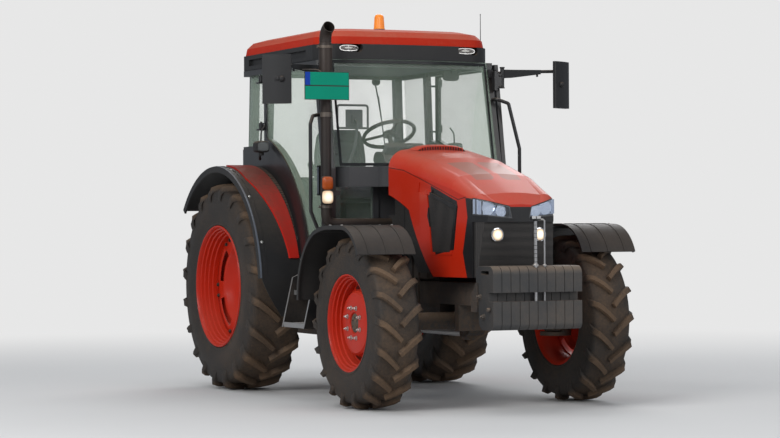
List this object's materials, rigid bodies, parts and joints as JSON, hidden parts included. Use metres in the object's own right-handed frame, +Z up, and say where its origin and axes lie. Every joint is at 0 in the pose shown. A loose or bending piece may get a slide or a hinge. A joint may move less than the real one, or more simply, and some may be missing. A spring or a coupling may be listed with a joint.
{
  "type": "farm tractor",
  "caption": "Four-wheel-drive farm tractor with a glazed cab, hinged bonnet, steered front axle, front suitcase weights and a rear three-point hitch.",
  "frame": {"origin": "on the ground under the middle of the tractor's length and width", "axes": "+X forward, +Y to the driver's left, +Z up"},
  "size_m": [4.1446, 2.43, 2.788],
  "materials": {
    "painted_red": "gloss",
    "rim_red": "satin",
    "black_paint": "satin",
    "grey_cast": "matte",
    "weight_grey": "matte",
    "steel": "satin",
    "black_plastic": "matte",
    "tyre": "matte",
    "glass": "clear",
    "lamp_glass": "clear",
    "seat_fabric": "woven",
    "amber": "gloss",
    "rubber": "matte"
  },
  "bodies": {
    "chassis": {"cab_base": "black_paint", "cab_cowl": "black_plastic", "cab_floor": "black_paint", "cab_frame": "black_paint", "cab_windows": "glass", "chassis_frame": "grey_cast", "dashboard": "black_plastic", "drawbar": "black_paint", "drive_shaft": "steel", "engine_block": "grey_cast", "exhaust_stack": "black_paint", "fender_panels": "painted_red", "front_axle_beam": "grey_cast", "front_weights": "weight_grey", "fuel_tank": "black_plastic", "handrails": "black_paint", "mirrors": "black_plastic", "pto_shaft": "steel", "rear_axle_case": "grey_cast", "rear_fenders": "black_plastic", "roof_base": "black_plastic", "roof_cap": "painted_red", "roof_lamps": "lamp_glass", "seat": "seat_fabric", "seat_base": "black_paint", "side_lamps": "amber", "sight_post": "steel", "steering_cylinder": "steel", "steps": "black_paint", "top_link": "steel"},
    "bonnet": {"bonnet_shell": "painted_red", "grille": "black_plastic", "headlamps": "lamp_glass"},
    "door_right": {"door_frame_right": "black_paint", "door_glass_right": "glass"},
    "door_left": {"door_frame_left": "black_paint", "door_glass_left": "glass"},
    "steer_unit_right": {"knuckle_right": "grey_cast", "front_fender_right": "black_plastic"},
    "steer_unit_left": {"knuckle_left": "grey_cast", "front_fender_left": "black_plastic"},
    "wheel_front_right": {"rim_front_right": "rim_red", "tyre_front_right": "tyre"},
    "wheel_front_left": {"rim_front_left": "rim_red", "tyre_front_left": "tyre"},
    "wheel_rear_right": {"rim_rear_right": "rim_red", "tyre_rear_right": "tyre"},
    "wheel_rear_left": {"rim_rear_left": "rim_red", "tyre_rear_left": "tyre"},
    "steering_rod": {"steering_rod": "steel"},
    "hand_wheel": {"steering_wheel": "rubber"},
    "lift_arms": {"lift_arms": "grey_cast"},
    "lift_rods": {"lift_rods": "steel"},
    "lower_links": {"lower_links": "grey_cast"}
  },
  "joints": [
    {"name": "wheel_spin_rear_right", "type": "hinge", "parent": "chassis", "child": "wheel_rear_right", "pos_m": [-1.11774, -0.795, 0.775], "axis": [0, 1, 0], "continuous": true},
    {"name": "wheel_spin_rear_left", "type": "hinge", "parent": "chassis", "child": "wheel_rear_left", "pos_m": [-1.11774, 0.795, 0.775], "axis": [0, 1, 0], "continuous": true},
    {"name": "steer_right", "type": "hinge", "parent": "chassis", "child": "steer_unit_right", "pos_m": [1.13226, -0.65, 0.577], "axis": [0, 0, 1], "range_deg": [-40, 40]},
    {"name": "steer_left", "type": "hinge", "parent": "chassis", "child": "steer_unit_left", "pos_m": [1.13226, 0.65, 0.577], "axis": [0, 0, 1], "range_deg": [-40, 40]},
    {"name": "wheel_spin_front_right", "type": "hinge", "parent": "steer_unit_right", "child": "wheel_front_right", "pos_m": [1.13226, -0.796, 0.577], "axis": [0, 1, 0], "continuous": true},
    {"name": "wheel_spin_front_left", "type": "hinge", "parent": "steer_unit_left", "child": "wheel_front_left", "pos_m": [1.13226, 0.796, 0.577], "axis": [0, 1, 0], "continuous": true},
    {"name": "steering_rod_slide", "type": "slide", "parent": "chassis", "child": "steering_rod", "axis": [0, 1, 0], "range_m": [-0.14, 0.14]},
    {"name": "hand_wheel_turn", "type": "hinge", "parent": "chassis", "child": "hand_wheel", "pos_m": [-0.18774, 0, 1.895], "axis": [-0.4695, 0, 0.8829], "range_deg": [-630, 630]},
    {"name": "bonnet_hinge", "type": "hinge", "parent": "chassis", "child": "bonnet", "pos_m": [0.60226, 0, 1.73], "axis": [0, -1, 0], "range_deg": [0, 50]},
    {"name": "door_hinge_right", "type": "hinge", "parent": "chassis", "child": "door_right", "pos_m": [-0.84774, -0.742, 1.95], "axis": [0, 0, -1], "range_deg": [0, 75]},
    {"name": "door_hinge_left", "type": "hinge", "parent": "chassis", "child": "door_left", "pos_m": [-0.84774, 0.742, 1.95], "axis": [0, 0, 1], "range_deg": [0, 75]},
    {"name": "lift_arm_turn", "type": "hinge", "parent": "chassis", "child": "lift_arms", "pos_m": [-1.28774, 0, 1.06], "axis": [0, 1, 0], "range_deg": [-8, 37]},
    {"name": "lift_rod_turn", "type": "hinge", "parent": "lift_arms", "child": "lift_rods", "pos_m": [-1.62031, 0, 0.98931], "axis": [0, 1, 0], "range_deg": [-37, 8]},
    {"name": "lower_link_turn", "type": "hinge", "parent": "chassis", "child": "lower_links", "pos_m": [-1.24774, 0, 0.5], "axis": [0, 1, 0], "range_deg": [-8, 37]}
  ],
  "couplings": [
    {"joint": "steer_left", "follows": "steer_right", "ratio": 1},
    {"joint": "steering_rod_slide", "follows": "steer_right", "m_per_rad": -0.18875},
    {"joint": "hand_wheel_turn", "follows": "steer_right", "ratio": 15.75},
    {"joint": "lift_rod_turn", "follows": "lift_arm_turn", "ratio": -1},
    {"joint": "lower_link_turn", "follows": "lift_arm_turn", "ratio": 1}
  ]
}
